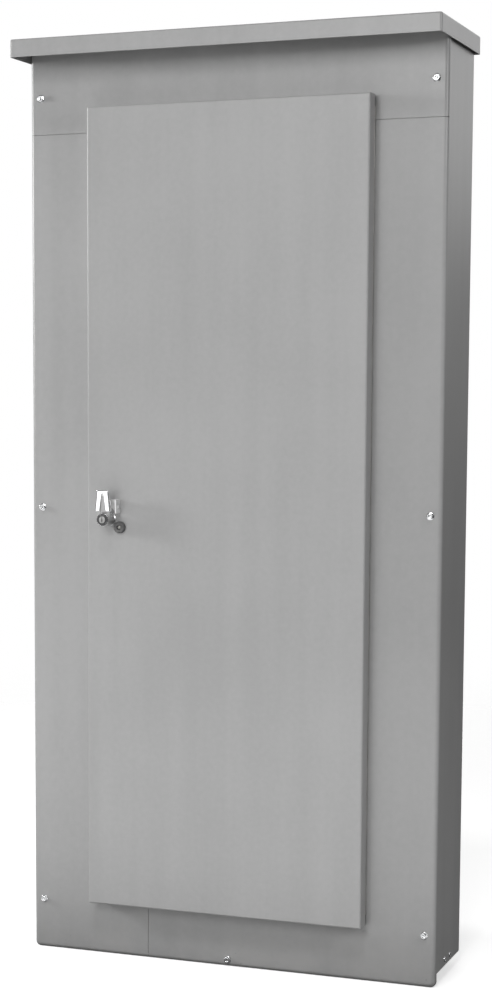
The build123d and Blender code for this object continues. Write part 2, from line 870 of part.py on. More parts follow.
# Latch rods: flat bars with a slotted eye over a crank pin, and a tip that goes behind the front
def latch_rod(side):
    """The upper rod (side 1), left of the axis, or the lower rod (side -1), right of it."""
    eye_x = -side * (crank_radius + crank_offset) / 2
    eye_z = -side * crank_offset
    edge = opening_top if side > 0 else opening_bottom
    tip_z = edge - handle_z + side * (rod_overlap - rod_travel)
    slot = crank_radius - crank_offset + 2 * crank_pin_radius + 2 * slot_clearance
    slot_height = 2 * (crank_pin_radius + slot_clearance)
    with BuildPart() as rod:
        with BuildSketch(on_axis(rod_y)):
            with Locations((eye_x, eye_z)):
                RectangleRounded(slot + 2 * rod_eye_wall, slot_height + 4 * rod_eye_wall, 4)
            with Locations((eye_x, (eye_z + tip_z) / 2)):
                Rectangle(rod_width, abs(tip_z - eye_z))
            with Locations((eye_x, eye_z)):
                Rectangle(slot, slot_height, mode=Mode.SUBTRACT)
        extrude(amount=-rod_sheet)
        tip = rod.faces().sort_by(Axis.Z)[-1 if side > 0 else 0]
        chamfer(tip.edges().filter_by(Axis.X).sort_by(Axis.Y)[0], rod_sheet - 1, 3 * rod_sheet)
    return rod


save(latch_rod(1), "upper_latch_rod")
save(latch_rod(-1), "lower_latch_rod")


def rod_guides(side):
    """Two folded brackets on the door that hold one rod, near its tip and near the handle."""
    eye_x = handle_x - side * (crank_radius + crank_offset) / 2
    edge = opening_top if side > 0 else opening_bottom
    outer = -side * guide_outer
    inner = side * guide_inner
    web_back = rod_y + rod_sheet + 4
    with BuildPart() as guides:
        for z in (edge - side * guide_end_inset, handle_z + side * guide_near_handle):
            middle = eye_x + (outer + inner) / 2
            with BuildSketch(Plane.YZ.offset(middle)):
                bent = [(door_inner_y, z + guide_foot), (door_inner_y, z), (web_back, z)]
                add(bent_strip(bent, guide_sheet, guide_sheet + 0.5))
            extrude(amount=abs(inner - outer) / 2, both=True)
            with BuildSketch(Plane.XY.offset(z - guide_sheet)):
                with Locations((eye_x, rod_y + rod_sheet / 2)):
                    Rectangle(rod_width + 2 * guide_gap, rod_sheet + 2 * guide_gap)
            extrude(amount=4 * guide_sheet, mode=Mode.SUBTRACT)
    return guides


save(rod_guides(1), "upper_rod_guides")
save(rod_guides(-1), "lower_rod_guides")

# Padlock hasp: an angle riveted to the door beside the lever, with a padlock hole in its ear
with BuildPart() as padlock_hasp:
    with BuildSketch(Plane.XY.offset(handle_z + hasp_z - hasp_height / 2)):
        ear_x = handle_x + hasp_x
        ear_tip_y = door_front_y - hasp_reach
        angle = [(ear_x - hasp_foot, door_front_y), (ear_x, door_front_y), (ear_x, ear_tip_y)]
        add(bent_strip(angle, hasp_sheet, hasp_sheet / 2, Side.RIGHT))
    extrude(amount=hasp_height)
    foot_corner = padlock_hasp.edges().filter_by(Axis.Y).group_by(Axis.Z)[0].sort_by(Axis.X)[0]
    chamfer(foot_corner, hasp_corner)
    with BuildSketch(Plane.YZ.offset(ear_x - 2 * hasp_sheet)):
        with Locations((door_front_y - padlock_hole_reach, handle_z + hasp_z)):
            Circle(padlock_hole_radius)
    extrude(amount=4 * hasp_sheet, mode=Mode.SUBTRACT)
    with BuildSketch(on_axis(door_front_y - hasp_sheet)):
        with Locations((hasp_x - hasp_foot / 2, hasp_z)):
            Circle(1.8 * rivet_radius)
    extrude(amount=rivet_head)
    with BuildSketch(on_axis(door_front_y)):
        with Locations((hasp_x - hasp_foot / 2, hasp_z)):
            Circle(rivet_radius)
    extrude(amount=-(door_sheet + rivet_head))
save(padlock_hasp, "padlock_hasp")

# Lever rest: a rubber buffer riveted to the door, under the lever when it is laid over
with BuildPart() as lever_rest:
    with BuildSketch(on_axis(door_front_y)):
        with Locations((rest_x, rest_z)):
            Circle(rest_radius)
    extrude(amount=rest_height)
    fillet(lever_rest.faces().sort_by(Axis.Y)[0].edges(), 2)
    with BuildSketch(on_axis(door_front_y - rest_height)):
        with Locations((rest_x, rest_z)):
            Circle(rest_rivet_radius)
    extrude(amount=-rest_height / 2, mode=Mode.SUBTRACT)
    with BuildSketch(on_axis(door_front_y)):
        with Locations((rest_x, rest_z)):
            Circle(rivet_radius)
    extrude(amount=-(door_sheet + rivet_head))
save(lever_rest, "lever_rest")


# Inner pan: carries the live parts, its sides folded back to the box's back wall
pan_front_y = wall_inner_y - pan_standoff - pan_sheet
pan_top = pan_bottom + pan_height
with BuildPart() as inner_pan:
    half = pan_width / 2
    pan_section = [(-half, wall_inner_y), (-half, pan_front_y), (half, pan_front_y), (half, wall_inner_y)]
    with BuildSketch(Plane.XY.offset(pan_bottom)):
        add(bent_strip(pan_section, pan_sheet, pan_sheet + 2, Side.LEFT))
    extrude(amount=pan_height)
    with BuildSketch(front_plane(pan_front_y)):
        with Locations(*wall_bolts_at):
            Circle(4 * wall_bolt_radius)
    extrude(amount=-2 * pan_sheet, mode=Mode.SUBTRACT)
save(inner_pan, "inner_pan")

# Busbars on two moulded supports
bus_back_y = pan_front_y - bus_support_depth
bus_front_y = bus_back_y - bus_thickness
for name, turn in (("busbar_left", -1), ("busbar_centre", 0), ("busbar_right", 1)):
    with BuildPart() as busbar:
        with BuildSketch(front_plane(bus_front_y)):
            with Locations((turn * bus_pitch, (bus_bottom + bus_top) / 2)):
                RectangleRounded(bus_width, bus_top - bus_bottom, 3)
        extrude(amount=-bus_thickness)
    save(busbar, name)

support_places = {
    "bus_support_bottom": bus_bottom + bus_support_inset,
    "bus_support_top": bus_top - 2 * bus_support_inset,
}
for name, z in support_places.items():
    with BuildPart() as bus_support:
        with BuildSketch(front_plane(bus_back_y)):
            with Locations((0, z)):
                RectangleRounded(bus_support_width, bus_support_height, 4)
        extrude(amount=-bus_support_depth)
        with BuildSketch(front_plane(bus_back_y)):
            with Locations((-bus_pitch / 2, z), (bus_pitch / 2, z)):
                Rectangle(bus_pitch - bus_width - 3, bus_support_height)
        extrude(amount=-bus_support_depth / 2, mode=Mode.SUBTRACT)
    save(bus_support, name)

# Circuit breakers: a moulded case with a raised nose that holds the toggle
case_front_y = bus_front_y - breaker_depth
nose_front_y = case_front_y - nose_depth
toggle_y = nose_front_y + toggle_sink


def breaker_case(centre, size, nose, upright):
    """A breaker's case. Its toggle tips up and down if it stands upright, else side to side."""
    slot = (toggle_width, toggle_slot) if upright else (toggle_slot, toggle_width)
    drum_plane = Plane.YZ.offset(centre[0]) if upright else Plane.XY.offset(centre[1])
    drum_centre = (toggle_y, centre[1]) if upright else (centre[0], toggle_y)
    drum_width = toggle_width + 2 * toggle_gap
    with BuildPart() as case:
        with BuildSketch(front_plane(case_front_y)):
            with Locations(centre):
                Rectangle(*size)
        extrude(amount=-breaker_depth)
        with BuildSketch(front_plane(case_front_y)):
            with Locations(centre):
                RectangleRounded(*nose, nose_rounding)
        extrude(amount=nose_depth)
        with BuildSketch(drum_plane):
            with Locations(drum_centre):
                Circle(toggle_radius + toggle_gap)
        extrude(amount=drum_width / 2, both=True, mode=Mode.SUBTRACT)
        with BuildSketch(front_plane(nose_front_y)):
            with Locations(centre):
                Rectangle(slot[0] + 2 * toggle_gap, slot[1] + 2 * toggle_gap)
        extrude(amount=-toggle_sink, mode=Mode.SUBTRACT)
    return case


def breaker_toggle(centre, tip_angle, upright):
    """A toggle: a drum with a lever that leans by the tilt from straight out of the cabinet."""
    drum_plane = Plane.YZ.offset(centre[0]) if upright else Plane.XY.offset(centre[1])
    drum_centre = (toggle_y, centre[1]) if upright else (centre[0], toggle_y)
    lever = [
        (0, -toggle_root / 2),
        (toggle_reach, -toggle_tip / 2),
        (toggle_reach, toggle_tip / 2),
        (0, toggle_root / 2),
    ]
    with BuildSketch() as lever_shape:
        with BuildLine():
            Polyline(*lever, close=True)
        make_face()
        fillet(lever_shape.vertices().sort_by(Axis.X)[-2:], 2)
    turned = lever_shape.sketch.rotate(Axis.Z, tip_angle)
    with BuildPart() as toggle:
        with BuildSketch(drum_plane):
            with Locations(drum_centre):
                Circle(toggle_radius)
                add(turned)
        extrude(amount=toggle_width / 2, both=True)
    return toggle


branch_x = (branch_width + column_gap) / 2
branch_places = [
    (side * branch_x, branch_first_z + row * branch_pitch) for row in range(branch_rows) for side in (-1, 1)
]
branch_size = (branch_width, branch_height)
branch_nose = (branch_nose_width, branch_nose_height)
for number, place in enumerate(branch_places, 1):
    save(breaker_case(place, branch_size, branch_nose, False), f"branch_breaker_{number}")
    outwards = -90 - math.copysign(toggle_tilt, place[0])
    save(breaker_toggle(place, outwards, False), f"branch_toggle_{number}")

main_place = (0, main_z)
main_size = (main_width, main_height)
main_nose = (main_nose_width, main_nose_height)
save(breaker_case(main_place, main_size, main_nose, True), "main_breaker")
save(breaker_toggle(main_place, 180 - toggle_tilt, True), "main_toggle")

# Dead-front cover: hides the live parts, with a hole for each breaker's nose
cover_back_y = case_front_y - cover_gap
cover_y = cover_back_y - cover_sheet
cover_centre = (0, pan_bottom + pan_height / 2)
cover_outside = across_block(
    pan_width, pan_height, cover_flange, 0, cover_bend + cover_sheet, cover_centre, cover_y
)
cover_inside = across_block(
    pan_width - 2 * cover_sheet,
    pan_height - 2 * cover_sheet,
    cover_flange,
    0,
    cover_bend,
    cover_centre,
    cover_back_y,
)
with BuildPart() as deadfront_cover:
    add(cover_outside)
    add(cover_inside, mode=Mode.SUBTRACT)
    with BuildSketch(front_plane(cover_y)):
        with Locations(*branch_places):
            RectangleRounded(
                branch_nose_width + 2 * cover_hole_gap,
                branch_nose_height + 2 * cover_hole_gap,
                nose_rounding,
            )
        with Locations(main_place):
            RectangleRounded(
                main_nose_width + 2 * cover_hole_gap, main_nose_height + 2 * cover_hole_gap, nose_rounding
            )
    extrude(amount=-cover_sheet, mode=Mode.SUBTRACT)
save(deadfront_cover, "deadfront_cover")

post_x = pan_width / 2 - post_inset
post_places = [(x, z) for x in (-post_x, post_x) for z in (pan_bottom + post_inset, pan_top - post_inset)]
with BuildPart() as deadfront_posts:
    with BuildSketch(front_plane(cover_back_y)):
        with Locations(*post_places):
            RegularPolygon(post_radius, 6)
    extrude(amount=-(pan_front_y - cover_back_y))
save(deadfront_posts, "deadfront_posts")


# Neutral bar on moulded supports, earth bar on its own feet
def bar_feet(x):
    """Two feet between a terminal bar and the pan."""
    with BuildPart() as feet:
        with BuildSketch(front_plane(pan_front_y - bar_standoff)):
            with Locations((x, bar_bottom + bar_foot), (x, bar_bottom + bar_length - bar_foot)):
                Rectangle(bar_size, bar_foot)
        extrude(amount=-bar_standoff)
    return feet


def terminal_bar(x):
    """An upright bar with a row of wire holes."""
    y = pan_front_y - bar_standoff - bar_size
    first = bar_bottom + bar_length / (2 * bar_holes)
    with BuildPart() as bar:
        with BuildSketch(front_plane(y)):
            with Locations((x, bar_bottom + bar_length / 2)):
                Rectangle(bar_size, bar_length)
        extrude(amount=-bar_size)
        with BuildSketch(Plane.YZ.offset(x - bar_size / 2)):
            holes = [(y + bar_size / 2, first + k * bar_length / bar_holes) for k in range(bar_holes)]
            with Locations(*holes):
                Circle(bar_hole_radius)
        extrude(amount=bar_size, mode=Mode.SUBTRACT)
    return bar


bar_x = pan_width / 2 - bar_inset
save(terminal_bar(-bar_x), "neutral_bar")
save(bar_feet(-bar_x), "neutral_supports")
with BuildPart() as earth_bar:
    add(terminal_bar(bar_x).part)
    add(bar_feet(bar_x).part)
save(earth_bar, "earth_bar")
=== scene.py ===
import math

import bmesh
import bpy
import numpy as np
from mathutils import Matrix


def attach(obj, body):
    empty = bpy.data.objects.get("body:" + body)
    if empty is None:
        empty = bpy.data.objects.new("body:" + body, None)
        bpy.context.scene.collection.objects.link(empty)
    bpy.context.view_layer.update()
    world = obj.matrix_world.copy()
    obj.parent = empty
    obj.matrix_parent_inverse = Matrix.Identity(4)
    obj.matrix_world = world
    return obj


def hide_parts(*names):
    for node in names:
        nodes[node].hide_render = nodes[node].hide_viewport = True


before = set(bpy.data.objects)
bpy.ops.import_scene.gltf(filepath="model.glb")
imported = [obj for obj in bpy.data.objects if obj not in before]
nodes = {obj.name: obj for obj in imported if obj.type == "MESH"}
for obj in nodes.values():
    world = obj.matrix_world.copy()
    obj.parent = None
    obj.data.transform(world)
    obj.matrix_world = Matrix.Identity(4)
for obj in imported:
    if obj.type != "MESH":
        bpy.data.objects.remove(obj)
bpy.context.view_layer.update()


# CAMERA
# A long lens stands 3.8 m in front of the cabinet and to its right, at chest height, and looks
# slightly down. Its shift only frames the picture as the photograph does.
camera_place = (1.3290, -3.8297, 1.1195)
camera_yaw = math.radians(21.944)
camera_pitch = math.radians(-6.340)

camera = bpy.data.objects.new("camera", bpy.data.cameras.new("camera"))
camera.data.lens = 76.49
camera.data.sensor_width = 36.0
camera.data.shift_x = 0.1085
camera.data.shift_y = 0.1165
turn = Matrix.Rotation(camera_yaw, 4, "Z") @ Matrix.Rotation(math.pi / 2 + camera_pitch, 4, "X")
camera.matrix_world = Matrix.Translation(camera_place) @ turn
bpy.context.scene.collection.objects.link(camera)
bpy.context.scene.camera = camera


# PAINTED SHEET STEEL
# The box, the front plates, the roof, the door and the rails are cut and folded from sheet and
# powder-coated in one grey. The coat is satin, with a faint orange peel, thin dust in places and a
# few chips at the lowest edges.
class Wire:
    """A socket that takes part in sums: each operator adds its own Math node."""

    def __init__(self, board, socket):
        self.board = board
        self.socket = socket

    def sum(self, operation, *values):
        sockets = dict(enumerate(values))
        return self.board.node("ShaderNodeMath", {"operation": operation}, sockets)

    def __add__(self, other):
        return self.sum("ADD", self, other)

    def __radd__(self, other):
        return self.sum("ADD", other, self)

    def __sub__(self, other):
        return self.sum("SUBTRACT", self, other)

    def __rsub__(self, other):
        return self.sum("SUBTRACT", other, self)

    def __mul__(self, other):
        return self.sum("MULTIPLY", self, other)

    def __rmul__(self, other):
        return self.sum("MULTIPLY", other, self)

    def __truediv__(self, other):
        return self.sum("DIVIDE", self, other)

    def __pow__(self, other):
        return self.sum("POWER", self, other)


class Board:
    """A node tree, to which one method adds every kind of node."""

    def __init__(self, tree):
        self.tree = tree

    def node(self, kind, settings, sockets, output=0):
        """Add a node: its settings, then the values or wires of its sockets."""
        made = self.tree.nodes.new(kind)
        for setting, value in settings.items():
            setattr(made, setting, value)
        for key, value in sockets.items():
            if isinstance(value, Wire):
                self.tree.links.new(value.socket, made.inputs[key])
            else:
                made.inputs[key].default_value = value
        return Wire(self, made.outputs[output])

    def step(self, value, low, high, out_low=0.0, out_high=1.0):
        """A smooth step of value between low and high."""
        settings = {"interpolation_type": "SMOOTHSTEP"}
        reach = {"From Min": low, "From Max": high, "To Min": out_low, "To Max": out_high}
        return self.node("ShaderNodeMapRange", settings, {"Value": value, **reach})


class Finish(Board):
    """A material of one Principled shader, with patterns on its Object coordinates."""

    def __init__(self, name, **fixed):
        self.material = bpy.data.materials.new(name)
        self.material.use_nodes = True
        super().__init__(self.material.node_tree)
        self.shader = self.tree.nodes["Principled BSDF"]
        for socket, value in fixed.items():
            self.shader.inputs[socket.replace("_", " ")].default_value = value
        self.place = self.node("ShaderNodeTexCoord", {}, {}, "Object")

    def feed(self, **wires):
        """Link wires to the shader's own sockets."""
        for socket, wire in wires.items():
            self.tree.links.new(wire.socket, self.shader.inputs[socket.replace("_", " ")])

    def noise(self, scale, detail=2.0, stretch=(1, 1, 1)):
        """Cloudy noise from 0 to 1, finer along an axis that has a larger stretch."""
        place = self.node("ShaderNodeMapping", {}, {"Vector": self.place, "Scale": stretch})
        return self.node("ShaderNodeTexNoise", {}, {"Vector": place, "Scale": scale, "Detail": detail})

    def cells(self, scale, output="Distance"):
        """Voronoi cells: the distance to the nearest cell's centre, or its random colour."""
        return self.node("ShaderNodeTexVoronoi", {}, {"Vector": self.place, "Scale": scale}, output)

    def axis(self, name):
        """The object coordinate along X, Y or Z, in metres."""
        return self.node("ShaderNodeSeparateXYZ", {}, {0: self.place}, name)

    def mix(self, amount, low, high):
        """A colour between low and high."""
        low, high = (c if isinstance(c, Wire) else (*c, 1.0) for c in (low, high))
        sockets = {"Factor": amount, 6: low, 7: high}
        return self.node("ShaderNodeMix", {"data_type": "RGBA"}, sockets, 2)

    def bump(self, height, distance, strength=1.0):
        """Relief from a height of 0 to 1, so many metres deep."""
        sockets = {"Height": height, "Distance": distance, "Strength": strength}
        self.feed(Normal=self.node("ShaderNodeBump", {}, sockets))

    def on(self, *names):
        """Put this finish on CAD nodes."""
        for name in names:
            slots = nodes[name].data.materials
            slots.clear()
            slots.append(self.material)


paint_dark = (0.345, 0.345, 0.345)
paint_light = (0.400, 0.400, 0.400)
paint_dust = (0.50, 0.49, 0.475)
bare_steel = (0.20, 0.195, 0.19)
dust_height = 0.16
chip_height = 0.05
# A darker patch right of the door's handle: partly hand grime, partly a painted shadow of the lever.
smudge_centre = (-0.190, 0.855)
smudge_reach = (0.055, 0.075)
peel_depth = 0.00016


def grey_paint(name, grime_and_lever_shadow=False):
    """Satin grey powder coat; on the door, hand grime and a painted lever shadow right of the handle."""
    paint = Finish(name, IOR=1.5)
    broad = paint.noise(2.3, 3.0)
    streaks = paint.noise(1.0, 3.0, (26, 26, 1.3))
    grain = paint.noise(95.0, 2.0)
    tone = broad * 0.55 + streaks * 0.25 + grain * 0.2
    colour = paint.mix(paint.step(tone, 0.32, 0.68), paint_dark, paint_light)
    height = paint.axis("Z")
    low_dust = paint.step(height, dust_height, 0.0) * paint.step(paint.noise(9.0, 4.0), 0.35, 0.75)
    film = paint.step(paint.noise(5.0, 5.0, (1, 1, 0.5)), 0.52, 0.78)
    colour = paint.mix(low_dust * 0.22 + film * 0.05, colour, paint_dust)
    chips = paint.step(paint.cells(60.0), 0.10, 0.07) * paint.step(paint.noise(7.0, 2.0), 0.60, 0.68)
    chips = chips * paint.step(height, chip_height, 0.1 * chip_height)
    colour = paint.mix(chips * 0.7, colour, bare_steel)
    rough = 0.28 + grain * 0.06 + broad * 0.08 + low_dust * 0.2
    # Painted shade: the patch right of the handle is darkened as hand grime and as the lever's shadow.
    if grime_and_lever_shadow:
        across = (paint.axis("X") - smudge_centre[0]) / smudge_reach[0]
        up = (height - smudge_centre[1]) / smudge_reach[1]
        ring = across * across + up * up
        grime_and_shadow = paint.step(ring, 1.6, 0.0) * (0.55 + 0.45 * paint.noise(26.0, 3.0))
        colour = paint.mix(grime_and_shadow * 0.04, colour, (0.05, 0.05, 0.05))
        rough = rough - grime_and_shadow * 0.06
    paint.feed(Base_Color=colour, Roughness=rough)
    peel = paint.noise(430.0, 2.0) * 0.75 + paint.noise(1500.0, 1.0) * 0.25
    paint.bump(peel, peel_depth, 0.5)
    return paint


grey_paint("cabinet_paint").on(
    "roof_hood", "back_box", "top_end_wall", "bottom_end_wall", "front_top_plate", "front_left_plate",
    "front_right_plate", "seam_splice_left", "seam_splice_right", "seam_splice_bottom",
    "mounting_rail_left", "mounting_rail_right", "door_stiffener", "drawing_pocket", "deadfront_cover",
)
grey_paint("door_paint", grime_and_lever_shadow=True).on("door")


# ZINC-PLATED FITTINGS
# The hinge, the latch parts, the handle's bushing and the hasp are zinc-plated steel: bright where
# they are turned and dull inside the door. The hasp's zinc is paler and less metallic, a painted
# highlight. The plate shows soft cloudy tones, fine handling scratches and duller patches.
def zinc_plate(name, tint, rough, metallic=1.0):
    """Zinc plate with cloudy tones and fine scratches."""
    zinc = Finish(name, Metallic=metallic)
    cloud = zinc.noise(38.0, 3.0)
    scratch = zinc.noise(55.0, 2.0, (9, 9, 0.6))
    dull_tint = tuple(0.72 * c for c in tint)
    zinc.feed(
        Base_Color=zinc.mix(zinc.step(cloud * 0.7 + scratch * 0.3, 0.3, 0.7), dull_tint, tint),
        Roughness=rough + cloud * 0.14 + scratch * 0.08,
    )
    zinc.bump(scratch * 0.6 + zinc.noise(420.0) * 0.4, 0.00005, 0.6)
    return zinc


zinc_plate("bright_zinc", (0.80, 0.81, 0.82), 0.16).on("handle_bushing", "handle_shaft", "bushing_nut")
# Painted highlight: the hasp's zinc is paler and less metallic, so it looks brighter than its lighting
# makes it.
zinc_plate("highlight_zinc", (0.95, 0.95, 0.95), 0.30, metallic=0.45).on("padlock_hasp")
dull_zinc = zinc_plate("dull_zinc", (0.62, 0.61, 0.58), 0.26)
dull_zinc.on(
    "hinge_frame_leaf", "hinge_door_leaf", "hinge_pin", "upper_rod_guides", "lower_rod_guides",
    "upper_latch_rod", "lower_latch_rod", "latch_cam", "deadfront_posts",
)


# SCREWS ON THE FRONT
# Seven thread-forming screws hold the front plates. Each has a pressed washer, a hexagonal head
# with chamfered corners and a shallow dish in its top, and a rolled thread.
def skin(grid, around=True, caps=(True, True)):
    """Points and faces of a surface over a grid of rows and columns. Each row closes on itself if
    around is true, and a fan of triangles closes the first or last row where caps says so."""
    rows, columns, _ = grid.shape
    points = grid.reshape(-1, 3)
    index = np.arange(rows * columns).reshape(rows, columns)
    beside = np.roll(index, -1, axis=1) if around else index[:, 1:]
    own = index if around else index[:, :-1]
    faces = np.stack([own[:-1], beside[:-1], beside[1:], own[1:]], axis=-1).reshape(-1, 4).tolist()
    for row, wanted, order in ((0, caps[0], -1), (rows - 1, caps[1], 1)):
        if wanted:
            pole = len(points)
            points = np.vstack([points, grid[row].mean(axis=0)])
            rim = np.stack([own[row], beside[row], np.full(len(own[row]), pole)], axis=-1)
            faces += rim[:, ::order].tolist()
    return points, faces


def outwards(shell):
    """The shell with its faces turned outwards, as its signed volume tells."""
    points, faces = shell
    volume = 0.0
    for sides in (3, 4):
        some = np.array([f for f in faces if len(f) == sides], int).reshape(-1, sides)
        for k in range(1, sides - 1):
            a, b, c = points[some[:, 0]], points[some[:, k]], points[some[:, k + 1]]
            volume += np.einsum("ij,ij->i", a - points[0], np.cross(b - points[0], c - points[0])).sum()
    return points, faces if volume > 0 else [f[::-1] for f in faces]


same_place = 1e-7


def piece(name, shells, finish, body, crease=32):
    """One object made of shells, with smooth faces that break at edges sharper than the crease.
    Points that meet at a seam or a pole are merged, so each shell is closed."""
    points, faces, count = [], [], 0
    for shell_points, shell_faces in map(outwards, shells):
        points.append(shell_points)
        faces += [[k + count for k in face] for face in shell_faces]
        count += len(shell_points)
    mesh = bpy.data.meshes.new(name)
    mesh.from_pydata(np.vstack(points).tolist(), [], faces)
    mesh.validate()
    merged = bmesh.new()
    merged.from_mesh(mesh)
    bmesh.ops.remove_doubles(merged, verts=merged.verts, dist=same_place)
    merged.to_mesh(mesh)
    merged.free()
    mesh.shade_smooth()
    mesh.set_sharp_from_angle(angle=math.radians(crease))
    mesh.materials.append(finish.material)
    made = bpy.data.objects.new(name, mesh)
    bpy.context.scene.collection.objects.link(made)
    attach(made, body)
    return made


def turned(profile, centre, axis, columns=48, radius_of=None):
    """A surface of revolution: a profile of radius and distance pairs, carried round an axis that
    starts at centre. radius_of may change the radius by the radius itself, the angle and the row."""
    profile = np.asarray(profile, float)
    angle = np.arange(columns) * 2 * np.pi / columns
    radius = np.repeat(profile[:, :1], columns, axis=1)
    if radius_of is not None:
        radius = radius_of(radius, angle[None, :])
    axis = np.asarray(axis, float)
    side = np.cross(axis, (0, 0, 1)) if abs(axis[2]) < 0.9 else np.array([1.0, 0, 0])
    side /= np.linalg.norm(side)
    up = np.cross(axis, side)
    ring = np.cos(angle)[:, None] * side + np.sin(angle)[:, None] * up
    points = radius[..., None] * ring + profile[:, 1][:, None, None] * axis
    return points + np.asarray(centre, float)


def rounded_profile(profile, radius, steps=4):
    """The profile with each inner corner cut by a small arc, drawn as a quadratic curve whose
    middle control point is the corner."""
    profile = np.asarray(profile, float)
    out = [profile[:1]]
    t = np.linspace(0, 1, steps)[:, None]
    for before, corner, after in zip(profile[:-2], profile[1:-1], profile[2:]):
        back, on = before - corner, after - corner
        reach = min(radius, 0.45 * np.linalg.norm(back), 0.45 * np.linalg.norm(on))
        a = corner + back / np.linalg.norm(back) * reach
        b = corner + on / np.linalg.norm(on) * reach
        out.append((1 - t) ** 2 * a + 2 * t * (1 - t) * corner + t**2 * b)
    out.append(profile[-1:])
    return np.vstack(out)


front_y = -0.068
screw_spots = [(x, z) for x in (-0.385, 0.385) for z in (0.098, 0.875, 1.652)] + [(0.0, 0.013)]
washer_radius = 0.0072
washer_edge = 0.0011
washer_height = 0.0016
head_flats = 0.0048
head_height = 0.0046
shank_radius = 0.0025
shank_end = 0.0155
thread_pitch = 0.0014
thread_height = 0.0004


def hexagon(radius, angle):
    """A radius limited to a hexagon's flats, which are the half width over the cosine of the angle
    from the middle of a side. A radius well inside the flats stays as it is."""
    flats = head_flats / np.cos((angle + np.pi / 6) % (np.pi / 3) - np.pi / 6)
    return np.where(radius > head_flats * 0.97, np.minimum(flats, radius), radius)


def washer_screw(x, z, twist):
    """A hex washer-head screw through the front, turned by a twist of its own. The thread is a
    triangle wave of the depth plus the turned angle, so it winds as a helix."""
    seat = np.array([x, front_y, z])
    washer = rounded_profile(
        [
            (0.0, 0.0),
            (washer_radius, 0.0),
            (washer_radius, washer_edge),
            (0.0046, washer_height + 0.0002),
        ],
        0.0004,
    )
    top = washer_height + head_height
    corner = head_flats / math.cos(math.pi / 6)
    head = [
        (corner * 1.02, washer_height * 0.7),
        (corner * 1.02, top - 0.0009),
        (corner * 0.985, top - 0.0005),
        (head_flats * 0.99, top - 0.0001),
        (head_flats * 0.90, top),
        (head_flats * 0.72, top - 0.0001),
        (head_flats * 0.62, top - 0.0007),
        (head_flats * 0.35, top - 0.0010),
        (head_flats * 0.05, top - 0.0011),
    ]
    depth = np.linspace(0.0005, shank_end, 62)
    taper = np.clip((shank_end + 0.0005 - depth) / shank_radius, 0.35, 1.0)
    shank = np.stack([shank_radius * taper, -depth], axis=-1)

    def thread(radius, angle):
        wave = np.abs(((depth[:, None] / thread_pitch + angle / (2 * np.pi)) % 1) - 0.5) * 2
        return radius + thread_height * wave * taper[:, None]

    def turned_hexagon(radius, angle):
        return hexagon(radius, angle + twist)

    return [
        skin(turned(washer, seat, (0, -1, 0), 40)),
        skin(turned(head, seat, (0, -1, 0), 72, turned_hexagon)),
        skin(turned(shank, seat, (0, -1, 0), 20, thread)),
    ]


screw_shells = []
for number, (x, z) in enumerate(screw_spots):
    screw_shells += washer_screw(x, z, 0.37 * number)
screw_zinc = zinc_plate("screw_zinc", (0.92, 0.93, 0.94), 0.12)
front_screws = piece("front_screw_set", screw_shells, screw_zinc, "root")
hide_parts("front_screws")


# SCREWS LOW ON THE SIDE WALLS
# Two zinc-plated pan-head screws a side hold the bottom end wall. Each has a low dome with a cross
# recess.
pan_radius = 0.0046
pan_rise = 0.0022
recess_reach = 0.0024
recess_depth = 0.0012
slot_half = 0.00065
side_screw_z = 0.0345
side_screw_ys = (0.014, 0.052)
side_wall_x = 0.4043


def cross_recess(radius, angle):
    """How deep the cross is cut at a place on the head: two slots that taper to the middle."""
    reach = np.clip((recess_reach - radius) / 0.0006, 0, 1)
    slot = np.minimum(np.abs(np.sin(angle)), np.abs(np.cos(angle))) * radius
    return recess_depth * reach * np.clip((slot_half - slot) / 0.0002, 0, 1)


def pan_screw(seat, axis):
    """A pan-head screw that points along an axis: a dome with the height of a flat ellipse."""
    radius = np.concatenate([[pan_radius, pan_radius], np.linspace(pan_radius - 0.0001, 0.0001, 26)])
    rise = pan_rise * np.sqrt(np.clip(1 - (radius / (pan_radius + 0.0001)) ** 4, 0, 1))
    rise[0] = 0.0
    grid = turned(np.stack([radius, rise], axis=-1), seat, axis, 64)
    angle = np.arange(64) * 2 * np.pi / 64
    grid -= cross_recess(radius[:, None], angle[None, :])[..., None] * np.array(axis, float)
    shank = turned([(0.0022, 0.0), (0.0022, -0.0068), (0.0014, -0.0077)], seat, axis, 20)
    return [skin(grid), skin(shank)]


side_screw_shells = []
for side in (-1, 1):
    for y in side_screw_ys:
        side_screw_shells += pan_screw((side * side_wall_x, y, side_screw_z), (side, 0, 0))
side_screws = piece("side_screw_set", side_screw_shells, screw_zinc, "root")
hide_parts("end_wall_screws")


# LEVER HANDLE
# A zinc casting with a chromed skin: a round hub that carries the lock, and a blade that narrows
# upwards. A triangular groove lies between two polished lands, and it and the neck are left satin.
handle_x, handle_z = -0.2295, 0.858
door_y = -0.106
hub_radius = 0.0132
hub_back = 0.0033
hub_front = 0.0330
blade_back = 0.0235
blade_low, blade_high = 0.0155, 0.0555
blade_root, blade_tip = 0.0156, 0.0114
groove_root, groove_tip = 0.0068, 0.0018
groove_low, groove_high = 0.0140, 0.0505
neck_front = 0.0270
neck_low, neck_high = -0.002, 0.0175
neck_half_low, neck_half_high = 0.0122, 0.0128
groove_depth = 0.0022
land_crown = 0.0001
edge_radius = 0.0016
satin_half_width = (0.0078, 0.0088)
satin_top = (0.0150, 0.0157)
lock_bore = 0.01145
lock_bore_depth = 0.0095

